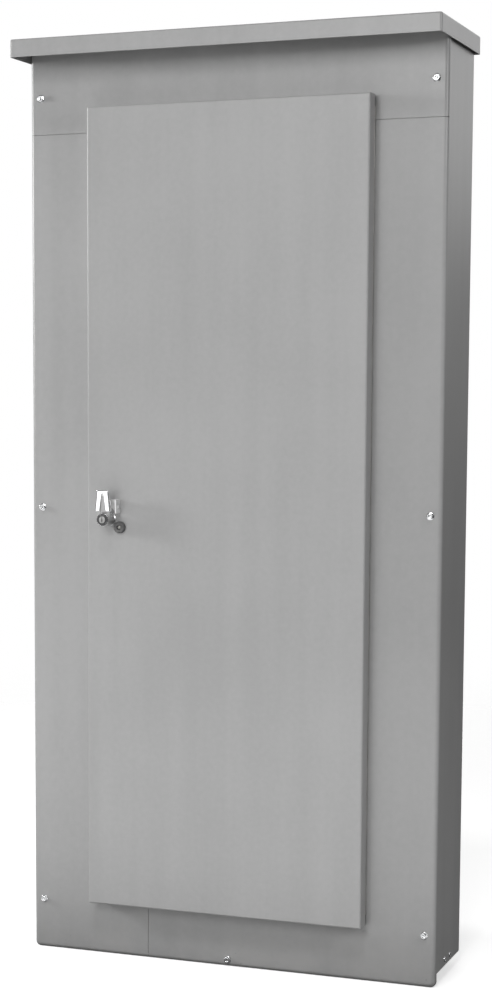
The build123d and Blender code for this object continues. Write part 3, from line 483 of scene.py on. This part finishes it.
chrome = Finish("chrome_plate", Metallic=1.0)
smear = chrome.noise(120.0, 3.0)
wipe = chrome.noise(60.0, 2.0, (7, 7, 1))
aside = chrome.axis("X") - handle_x
sunk = chrome.step(chrome.axis("Y"), door_y - hub_front + 0.0002, door_y - hub_front + 0.0006)
unpolished = sunk * chrome.step(aside * aside, satin_half_width[1] ** 2, satin_half_width[0] ** 2)
under = chrome.step(chrome.axis("Z"), handle_z + satin_top[1], handle_z + satin_top[0])
unpolished = unpolished + sunk * under * (1 - unpolished)
smeared = chrome.step(smear * 0.6 + wipe * 0.4, 0.3, 0.7)
polish = chrome.mix(smeared, (0.80, 0.80, 0.81), (0.90, 0.90, 0.91))
chrome.feed(
    Base_Color=chrome.mix(unpolished, polish, (0.56, 0.56, 0.56)),
    Roughness=0.10 + 0.12 * chrome.step(smear, 0.4, 0.75) + 0.05 * wipe + unpolished * 0.34,
)
chrome.bump(chrome.noise(260.0, 2.0), 0.00003, 0.6)


def blade_grid():
    """The blade: a closed section carried up the lever. Its width narrows in a straight line, its
    ends are rounded by quarter ellipses, and its front sinks into the groove's cosine walls."""
    end = np.linspace(0, np.pi / 2, 7)
    inset = np.concatenate([1 - np.sin(end), np.zeros(44), 1 - np.sin(end[::-1])]) * edge_radius
    length = blade_high - blade_low
    low_end = blade_low + edge_radius * (1 - np.cos(end))
    high_end = blade_high - edge_radius * (1 - np.cos(end[::-1]))
    run = np.linspace(blade_low + edge_radius, blade_high - edge_radius, 46)[1:-1]
    z = np.concatenate([low_end, run, high_end])
    share = (z - blade_low) / length
    half = blade_root + (blade_tip - blade_root) * share - inset
    groove_share = np.clip((z - groove_low) / (groove_high - groove_low), 0, 1)
    groove = groove_root + (groove_tip - groove_root) * groove_share
    depth = groove_depth * np.clip((groove_high - z) / (groove_high - blade_low), 0, 1) ** 0.8
    depth = depth * np.clip(1 - inset / edge_radius * 1.1, 0, 1)

    inner = np.array([0.0, 0.25, 0.5, 0.62, 0.74, 0.85, 0.94, 1.0])
    land = np.linspace(0, 1, 9)[1:]
    arc = np.linspace(0, np.pi / 2, 7)[1:]
    front = hub_front - inset
    back = blade_back + inset
    x_groove = groove[:, None] * inner[None, :]
    wall = 0.5 + 0.5 * np.cos(np.pi * np.clip((inner - 0.5) / 0.5, 0, 1))
    y_groove = front[:, None] - depth[:, None] * wall[None, :]
    land_start = groove * inner[-1]
    land_end = half - edge_radius
    x_land = land_start[:, None] + (land_end - land_start)[:, None] * land[None, :]
    crown = land_crown * (4 * land * (1 - land))
    y_land = front[:, None] + crown[None, :] - land_crown * land[None, :] ** 2
    x_arc = land_end[:, None] + edge_radius * np.sin(arc)[None, :]
    y_arc = (front - land_crown)[:, None] - edge_radius * (1 - np.cos(arc))[None, :]
    x_side = np.stack([half, half], axis=1)
    y_side = np.stack([(front + back) / 2 - 0.001, back + edge_radius], axis=1)
    x_under = land_end[:, None] + edge_radius * np.cos(arc)[None, :]
    y_under = back[:, None] + edge_radius * (1 - np.sin(arc))[None, :]
    x_back = land_end[:, None] * np.array([0.66, 0.33, 0.0])[None, :]
    y_back = np.repeat(back[:, None], 3, axis=1)
    x = np.hstack([x_groove, x_land, x_arc, x_side, x_under, x_back])
    y = np.hstack([y_groove, y_land, y_arc, y_side, y_under, y_back])
    x = np.hstack([x, -x[:, -2:0:-1]])
    y = np.hstack([y, y[:, -2:0:-1]])
    rows = np.repeat(z[:, None], x.shape[1], axis=1)
    return np.stack([handle_x + x, door_y - y, handle_z + rows], axis=-1)


def neck_grid():
    """The neck between the hub and the blade: rounded boxes, as superellipses, one above another."""
    angle = np.arange(56) * 2 * np.pi / 56
    up = np.linspace(neck_low, neck_high, 14)
    half = np.linspace(neck_half_low, neck_half_high, 14)
    middle = (blade_back + neck_front) / 2
    thick = (neck_front - blade_back) / 2
    squareness = 0.35
    sideways = np.sign(np.cos(angle)) * np.abs(np.cos(angle)) ** squareness
    forwards = np.sign(np.sin(angle)) * np.abs(np.sin(angle)) ** squareness
    x = half[:, None] * sideways[None, :]
    y = middle + thick * np.repeat(forwards[None, :], len(up), axis=0)
    z = np.repeat(up[:, None], len(angle), axis=1)
    return np.stack([handle_x + x, door_y - y, handle_z + z], axis=-1)


hub_profile = rounded_profile(
    [
        (0.0062, hub_back),
        (hub_radius, hub_back),
        (hub_radius, hub_back + 0.0030),
        (hub_radius * 0.965, hub_back + 0.0042),
        (hub_radius * 0.965, hub_front - 0.0015),
        (hub_radius * 0.90, hub_front),
        (lock_bore, hub_front),
        (lock_bore, hub_front - lock_bore_depth),
        (0.0062, hub_front - lock_bore_depth),
    ],
    0.0006,
)
handle_seat = (handle_x, door_y, handle_z)
hub = skin(turned(hub_profile, handle_seat, (0, -1, 0), 96))
lever = piece(
    "lever_casting", [skin(blade_grid()), skin(neck_grid()), hub], chrome, "handle", crease=40
)
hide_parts("lever_handle")


# LOCK
# The lock is a die-cast barrel with a bevelled rim, finished black and worn to a dark grey. Its
# turned steel plug has fine rings from the tool and a keyway with a stepped outline.
lock_proud = 0.0015
barrel_radius = 0.0113
plug_bore = 0.00645
plug_radius = 0.0064
plug_proud = 0.0010
keyway_depth = 0.0030
keyway_half_height = 0.0038
keyway_narrow, keyway_wide = 0.0006, 0.0011
ring_waves = 21000.0
barrel_black = Finish("barrel_black", Metallic=0.85)
worn = barrel_black.noise(210.0, 3.0)
barrel_black.feed(
    Base_Color=barrel_black.mix(
        barrel_black.step(worn, 0.45, 0.75), (0.11, 0.11, 0.112), (0.22, 0.22, 0.22)
    ),
    Roughness=0.42 + 0.2 * worn,
)
barrel_black.bump(barrel_black.noise(900.0), 0.00004, 0.5)
lock_face = hub_front + lock_proud
barrel_profile = rounded_profile(
    [
        (0.0, hub_front - 0.010),
        (barrel_radius, hub_front - 0.010),
        (barrel_radius, lock_face - 0.0009),
        (0.0104, lock_face),
        (0.0086, lock_face),
        (0.0082, lock_face - 0.0004),
        (0.0078, lock_face),
        (0.00665, lock_face),
        (plug_bore, lock_face - 0.0003),
        (plug_bore, lock_face - 0.009),
        (0.0, lock_face - 0.009),
    ],
    0.0003,
)
barrel = skin(turned(barrel_profile, handle_seat, (0, -1, 0), 96), caps=(False, False))
lock = piece("lock_barrel", [barrel], barrel_black, "handle")
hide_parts("lock_body")

turned_steel = Finish("turned_steel", Metallic=1.0)
steel_x = turned_steel.axis("X") - handle_x
steel_z = turned_steel.axis("Z") - handle_z
from_axis = (steel_x * steel_x + steel_z * steel_z) ** 0.5
rings = turned_steel.node("ShaderNodeMath", {"operation": "SINE"}, {0: from_axis * ring_waves})
stain = turned_steel.noise(300.0, 2.0)
turned_steel.feed(
    Base_Color=turned_steel.mix(stain, (0.36, 0.36, 0.355), (0.50, 0.50, 0.495)),
    Roughness=0.30 + 0.15 * stain,
)
turned_steel.bump(rings * 0.5 + 0.5, 0.00002, 0.6)


def plug_grid():
    """The plug: a disc of rings whose middle sinks into the keyway, a slot that is narrow above and
    wide below. The depth fades to nothing over a fraction of a millimetre at the slot's edge."""
    face = lock_face + plug_proud
    rim = [plug_radius, plug_radius, plug_radius - 0.0002, plug_radius - 0.0005]
    radius = np.concatenate([rim, np.linspace(0.0056, 0.00005, 34)])
    reach = np.concatenate([[hub_front - 0.0085, face - 0.0005, face - 0.0001], np.full(35, face)])
    angle = np.arange(96) * 2 * np.pi / 96
    x = radius[:, None] * np.cos(angle)[None, :]
    z = radius[:, None] * np.sin(angle)[None, :]
    y = np.repeat(reach[:, None], 96, axis=1)
    half = np.where(z > 0.0006, keyway_narrow, keyway_wide)
    inside = np.clip((half - np.abs(x)) / 0.00022, 0, 1)
    inside = inside * np.clip((keyway_half_height - np.abs(z)) / 0.0003, 0, 1)
    y = y - keyway_depth * inside * (radius[:, None] < 0.0057)
    return np.stack([handle_x + x, door_y - y, handle_z + z], axis=-1)


plug = piece("lock_plug_face", [skin(plug_grid())], turned_steel, "lock")
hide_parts("lock_plug")


# LEVER REST
# A moulded black rubber buffer with a waisted rim, greyed by weather. A zinc-plated rivet holds it
# to the door and shows in its middle.
rest_x, rest_z = handle_x + 0.023, handle_z - 0.0155
well_floor = 0.0047
rubber = Finish("black_rubber", IOR=1.45)
bloom = rubber.noise(140.0, 4.0)
rubber.feed(
    Base_Color=rubber.mix(rubber.step(bloom, 0.4, 0.75), (0.095, 0.095, 0.096), (0.17, 0.169, 0.165)),
    Roughness=0.62 + 0.2 * bloom,
)
rubber.bump(rubber.noise(1300.0, 2.0), 0.00008, 0.5)
rest_profile = rounded_profile(
    [
        (0.0, 0.0),
        (0.0113, 0.0),
        (0.0115, 0.0016),
        (0.0106, 0.0032),
        (0.0106, 0.0058),
        (0.0111, 0.0075),
        (0.0098, 0.0090),
        (0.0048, 0.0090),
        (0.0042, 0.0084),
        (0.0042, well_floor),
        (0.0, well_floor),
    ],
    0.0009,
    5,
)
rest_seat = (rest_x, door_y, rest_z)
rest_shell = skin(turned(rest_profile, rest_seat, (0, -1, 0), 72), caps=(False, False))
tail_profile = [(0.0023, 0.0002), (0.0023, -0.0029), (0.0016, -0.0031)]
rest_tail = skin(turned(tail_profile, rest_seat, (0, -1, 0), 24))
rest = piece("rest_buffer", [rest_shell, rest_tail], rubber, "door")
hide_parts("lever_rest")
rivet_profile = rounded_profile(
    [(0.0, well_floor), (0.0037, well_floor), (0.0036, 0.0056), (0.0020, 0.0066), (0.0, 0.0069)], 0.0006, 5
)
rivet_shell = skin(turned(rivet_profile, rest_seat, (0, -1, 0), 40), caps=(False, False))
piece("rest_rivet", [rivet_shell], dull_zinc, "door")


# DOOR GASKET
# A strip of closed-cell foam is glued inside the door. It is rounded at its edges, and the rain
# flange's edge has pressed a shallow groove along its middle.
gasket_front, gasket_back = -0.1041, -0.0926
gasket_half = 0.0070
groove_dip = 0.0016
groove_width = 0.0016
corner_radius = 0.007
flange_middle = 0.00095
opening_low = np.array([-0.262, 0.120])
opening_high = np.array([0.248, 1.616])
foam = Finish("gasket_foam", IOR=1.4)
pores = foam.cells(950.0)
foam_cloud = foam.noise(40.0, 3.0)
foam.feed(
    Base_Color=foam.mix(foam_cloud, (0.016, 0.016, 0.017), (0.036, 0.035, 0.034)),
    Roughness=0.82 + 0.1 * foam_cloud,
)
foam.bump(foam.step(pores, 0.15, 0.6), 0.00025, 0.7)


def gasket_grid():
    """The foam's section carried round the opening, in straight runs and quarter circles: a strip
    with rounded edges, whose back face dips by a bell curve where the flange presses. Its edges
    wander by a quarter of a millimetre, as the product of two sines along the run."""
    centre = (opening_low + opening_high) / 2
    half = (opening_high - opening_low) / 2 + flange_middle
    edge = np.array([-1, -1, -0.94, -0.8])
    across = np.concatenate([edge, np.linspace(-0.6, 0.6, 13), -edge[::-1]]) * gasket_half
    lift = np.concatenate([[0, 0.75, 0.93, 1], np.ones(13), [1, 0.93, 0.75, 0]])
    dip = groove_dip * np.exp(-((across / groove_width) ** 2))
    back = gasket_front + (gasket_back - gasket_front) * lift - dip
    back[[0, -1]] = gasket_front
    quarter = np.linspace(0, np.pi / 2, 9)
    spots, ways = [], []
    straight = np.linspace(0, 1, 40)[1:-1]
    signs = np.array([[1, 1], [-1, 1], [-1, -1], [1, -1]])
    for k in range(4):
        way = quarter + k * np.pi / 2
        heart = centre + signs[k] * (half - corner_radius)
        ring = np.stack([np.cos(way), np.sin(way)], axis=-1)
        spots.append(heart + corner_radius * ring)
        ways.append(ring)
        end = centre + signs[(k + 1) % 4] * (half - corner_radius) + corner_radius * ring[-1]
        spots.append(spots[-1][-1] + straight[:, None] * (end - spots[-1][-1]))
        ways.append(np.repeat(ring[-1:], len(straight), axis=0))
    spots, ways = np.vstack(spots), np.vstack(ways)
    step = np.arange(len(spots))
    wobble = 0.00025 * np.sin(step * 1.7) * np.sin(step * 0.31)
    xz = spots[:, None, :] + (across[None, :] + wobble[:, None])[..., None] * ways[:, None, :]
    y = np.repeat(back[None, :], len(spots), axis=0)
    return np.stack([xz[..., 0], y, xz[..., 1]], axis=-1)


ring_grid = gasket_grid()
ring_grid = np.concatenate([ring_grid, ring_grid[:1]], axis=0)
gasket_shell = skin(ring_grid, caps=(False, False))
gasket = piece("foam_gasket", [gasket_shell], foam, "door", crease=50)
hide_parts("door_gasket")


# INNER PAN AND BARS
# The pan is galvanised sheet with a frosty spangle. The busbars are drawn copper with a brown
# bloom, on red glass-filled polyester supports. The terminal bars are sawn aluminium, and the
# neutral bar stands on nylon.
spangle = Finish("galvanised_sheet", Metallic=1.0)
flake = spangle.cells(85.0, "Color")
flake_tone = spangle.node("ShaderNodeSeparateColor", {}, {0: flake}, 0)
frost = flake_tone * 0.6 + 0.4 * spangle.noise(12.0, 3.0)
spangle.feed(
    Base_Color=spangle.mix(frost, (0.42, 0.43, 0.44), (0.66, 0.67, 0.68)),
    Roughness=0.34 + 0.2 * flake_tone,
)
spangle.bump(spangle.noise(240.0), 0.00004, 0.5)
spangle.on("inner_pan")

copper = Finish("bus_copper", Metallic=1.0)
bloom_brown = copper.step(copper.noise(16.0, 4.0, (1, 1, 0.5)), 0.4, 0.75)
draw_lines = copper.noise(700.0, 1.0, (1, 1, 0.01))
copper.feed(
    Base_Color=copper.mix(bloom_brown, (0.80, 0.42, 0.27), (0.42, 0.20, 0.12)),
    Roughness=0.24 + 0.2 * bloom_brown + 0.08 * draw_lines,
)
copper.bump(draw_lines, 0.00003, 0.6)
copper.on("busbar_left", "busbar_centre", "busbar_right")

polyester = Finish("bus_insulator", IOR=1.55)
fibres = polyester.noise(180.0, 3.0, (1, 5, 1))
fibre_tone = polyester.step(fibres, 0.35, 0.7)
polyester.feed(
    Base_Color=polyester.mix(fibre_tone, (0.33, 0.035, 0.025), (0.46, 0.07, 0.05)),
    Roughness=0.42 + 0.15 * fibres,
)
polyester.bump(fibres, 0.00006, 0.5)
polyester.on("bus_support_top", "bus_support_bottom")

sawn = Finish("bar_aluminium", Metallic=1.0)
saw_lines = sawn.noise(600.0, 2.0, (0.05, 0.05, 1))
sawn.feed(
    Base_Color=sawn.mix(saw_lines, (0.62, 0.62, 0.63), (0.78, 0.78, 0.79)),
    Roughness=0.30 + 0.18 * saw_lines,
)
sawn.bump(saw_lines, 0.00004, 0.6)
sawn.on("neutral_bar", "earth_bar")

nylon = Finish("support_nylon", IOR=1.5)
nylon_cloud = nylon.noise(50.0, 3.0)
nylon.feed(
    Base_Color=nylon.mix(nylon_cloud, (0.60, 0.58, 0.52), (0.74, 0.72, 0.67)),
    Roughness=0.40 + 0.15 * nylon_cloud,
)
nylon.bump(nylon.noise(800.0), 0.00005, 0.4)
nylon.on("neutral_supports")


# CIRCUIT BREAKERS
# The cases are black moulded thermoset with a fine spark-eroded texture, plugged on to the busbars.
# The toggles are glossier, and lightly rubbed in places.
case_moulding = Finish("breaker_moulding", IOR=1.5)
case_cloud = case_moulding.noise(60.0, 3.0)
case_moulding.feed(
    Base_Color=case_moulding.mix(case_cloud, (0.018, 0.018, 0.020), (0.034, 0.034, 0.036)),
    Roughness=0.46 + 0.14 * case_cloud,
)
case_moulding.bump(case_moulding.noise(1800.0, 2.0), 0.00007, 0.6)
case_moulding.on("main_breaker", *[f"branch_breaker_{n}" for n in range(1, 7)])

toggle_moulding = Finish("toggle_moulding", IOR=1.5)
rubbed = toggle_moulding.noise(240.0, 3.0)
toggle_moulding.feed(
    Base_Color=toggle_moulding.mix(
        toggle_moulding.step(rubbed, 0.45, 0.8), (0.012, 0.012, 0.013), (0.05, 0.05, 0.05)
    ),
    Roughness=0.26 + 0.2 * rubbed,
)
toggle_moulding.bump(toggle_moulding.noise(900.0), 0.00004, 0.5)
toggle_moulding.on("main_toggle", *[f"branch_toggle_{n}" for n in range(1, 7)])


# SWITCH MARKS
# The usual signs for on, a bar, and for off, a ring, are pad-printed in white ink on the breakers'
# noses, one on each side of the toggle.
nose_y = -0.0306
ink = 0.00012
bar_half_width = 0.0006
bar_half_height = 0.0030
ring_inner, ring_outer = 0.0019, 0.0030
branch_x = 0.095
branch_heights = (0.940, 1.058, 1.176)
main_height = 1.450
mark_reach = 0.024
print_white = Finish("print_white")
print_wear = print_white.noise(400.0, 3.0)
print_white.feed(
    Base_Color=print_white.mix(
        print_white.step(print_wear, 0.55, 0.8), (0.74, 0.74, 0.72), (0.45, 0.45, 0.44)
    ),
    Roughness=0.45 + 0.2 * print_wear,
)
print_white.bump(print_white.noise(1500.0), 0.00002, 0.4)


def bar_mark(x, z):
    """A bar: a circle whose halves are moved apart up and down, raised by the ink's thickness."""
    angle = np.arange(24) * 2 * np.pi / 24
    apart = (bar_half_height - bar_half_width) * np.sign(np.round(np.sin(angle), 6))
    outline_x = x + bar_half_width * np.cos(angle)
    outline_z = z + bar_half_width * np.sin(angle) + apart
    level = np.array([nose_y + ink, nose_y - ink])
    rows = [np.stack([outline_x, np.full(24, y), outline_z], axis=-1) for y in level]
    return skin(np.stack(rows))


def ring_mark(x, z):
    """A ring: a flat rectangle of ink carried round its centre."""
    section = [(ring_inner, -ink), (ring_outer, -ink), (ring_outer, ink), (ring_inner, ink)]
    section.append(section[0])
    return skin(turned(section, (x, nose_y, z), (0, -1, 0), 40), caps=(False, False))


mark_shells = []
for z in branch_heights:
    for side in (-1, 1):
        mark_shells.append(bar_mark(side * (branch_x - mark_reach), z))
        mark_shells.append(ring_mark(side * (branch_x + mark_reach), z))
mark_shells.append(bar_mark(0.0, main_height + mark_reach))
mark_shells.append(ring_mark(0.0, main_height - mark_reach))
piece("switch_marks", mark_shells, print_white, "root")


# SCREWS OF THE DEAD-FRONT COVER
# Four zinc-plated pan-head screws hold the cover to the posts behind its corners. They are the same
# as the screws low on the side walls.
cover_y = -0.0248
cover_screw_shells = []
for x in (-0.263, 0.263):
    for z in (0.122, 1.618):
        cover_screw_shells += pan_screw((x, cover_y, z), (0, -1, 0))
piece("cover_screw_set", cover_screw_shells, screw_zinc, "root")


# FLOOR AND LIGHT
# A plain pale floor fades out into a white surround. One soft box stands high in front, a weak one
# far up, one at the left and one at the right. A backdrop behind shines along the right side wall,
# and the chrome mirrors a bright patch in front. The light that the floor throws back on the cabinet
# is not the tone that is seen: it is white in front, with a glow near the cabinet, and dark elsewhere.
floor_radius = 7.0
ring_angle = np.arange(96) * 2 * np.pi / 96
ring_radius = np.linspace(0.05, floor_radius, 24)
floor_grid = np.stack(
    [
        ring_radius[:, None] * np.cos(ring_angle),
        ring_radius[:, None] * np.sin(ring_angle),
        np.zeros((24, 96)),
    ],
    axis=-1,
)
floor_points, floor_faces = skin(floor_grid, caps=(True, False))
floor_mesh = bpy.data.meshes.new("floor")
floor_mesh.from_pydata(floor_points.tolist(), [], floor_faces)
floor = bpy.data.objects.new("floor", floor_mesh)
bpy.context.scene.collection.objects.link(floor)
pale = Finish("pale_floor", Roughness=0.85)
floor_x, floor_y = pale.axis("X"), pale.axis("Y")
out = (floor_x * floor_x + floor_y * floor_y) ** 0.5
pale_glow = 0.52
front_glow = 0.72
pale.shader.inputs["Emission Strength"].default_value = 1.0
lens_ray = pale.node("ShaderNodeLightPath", {}, {}, "Is Camera Ray")
in_front = pale.step(floor_y, -0.2, -0.8) * pale.step(floor_x, 1.3, 0.8)
swept = pale.mix(in_front, (0.10, 0.10, 0.10), (0.82, 0.82, 0.82))
near_front = pale.step(floor_y, -0.12, -0.35) * pale.step(floor_y, -1.7, -1.2)
near_front = near_front * pale.step(floor_x * floor_x, 1.2, 0.7)
pale.feed(
    Base_Color=pale.mix(lens_ray, swept, (0.88, 0.88, 0.88)),
    Emission_Color=pale.mix(lens_ray, near_front * front_glow, (pale_glow, pale_glow, pale_glow)),
    Alpha=pale.step(out, 1.1, 4.5, 1.0, 0.0),
)
floor_mesh.materials.append(pale.material)


def soft_box(name, place, aim, width, height, watts):
    """A rectangular light at a place, turned towards a point."""
    light = bpy.data.lights.new(name, "AREA")
    light.shape = "RECTANGLE"
    light.size, light.size_y = width, height
    light.energy = watts
    box = bpy.data.objects.new(name, light)
    way = np.array(aim, float) - np.array(place, float)
    tilt = math.atan2(math.hypot(way[0], way[1]), -way[2])
    heading = Matrix.Rotation(math.atan2(way[1], way[0]) - math.pi / 2, 4, "Z")
    box.matrix_world = Matrix.Translation(place) @ heading @ Matrix.Rotation(tilt, 4, "X")
    bpy.context.scene.collection.objects.link(box)


soft_box("front_box", (-0.3, -5.2, 3.2), (0, 0, 0.8), 2.0, 2.4, 106)
soft_box("high_box", (1.0, -6.0, 11.4), (0, 0, 1.0), 1.4, 1.4, 240)
soft_box("left_box", (-4.1, -1.05, 1.85), (0, 0, 1.0), 0.6, 0.9, 110)
soft_box("right_box", (3.7, -1.5, 2.2), (0.3, 0, 1.0), 0.8, 0.8, 36)

world = bpy.data.worlds.new("surround")
world.use_nodes = True
bpy.context.scene.world = world
sky = Board(world.node_tree)
direction = sky.node("ShaderNodeTexCoord", {}, {}, "Generated")
ahead = sky.node("ShaderNodeSeparateXYZ", {}, {0: direction}, "Y")
above = sky.node("ShaderNodeSeparateXYZ", {}, {0: direction}, "Z")
across = sky.node("ShaderNodeSeparateXYZ", {}, {0: direction}, "X")
patch_way = (-0.386, -0.922, -0.03)
facing = across * patch_way[0] + ahead * patch_way[1] + above * patch_way[2]
walls_glow, ceiling_glow, backdrop_glow, patch_glow = 0.04, 0.05, 1.3, 1.7
backdrop = sky.step(ahead, 0.45, 0.85) * sky.step(above, 0.045, 0.10)
room = walls_glow + ceiling_glow * sky.step(above, 0.1, 0.6) + backdrop * backdrop_glow
room = room + sky.step(facing, 0.965, 0.988) * patch_glow
seen = sky.node("ShaderNodeLightPath", {}, {}, "Is Camera Ray")
strength = room * (1 - seen) + seen
sky.tree.links.new(strength.socket, sky.tree.nodes["Background"].inputs["Strength"])
sky.tree.nodes["Background"].inputs["Color"].default_value = (1.0, 1.0, 1.0, 1.0)
bpy.context.scene.view_settings.view_transform = "Standard"
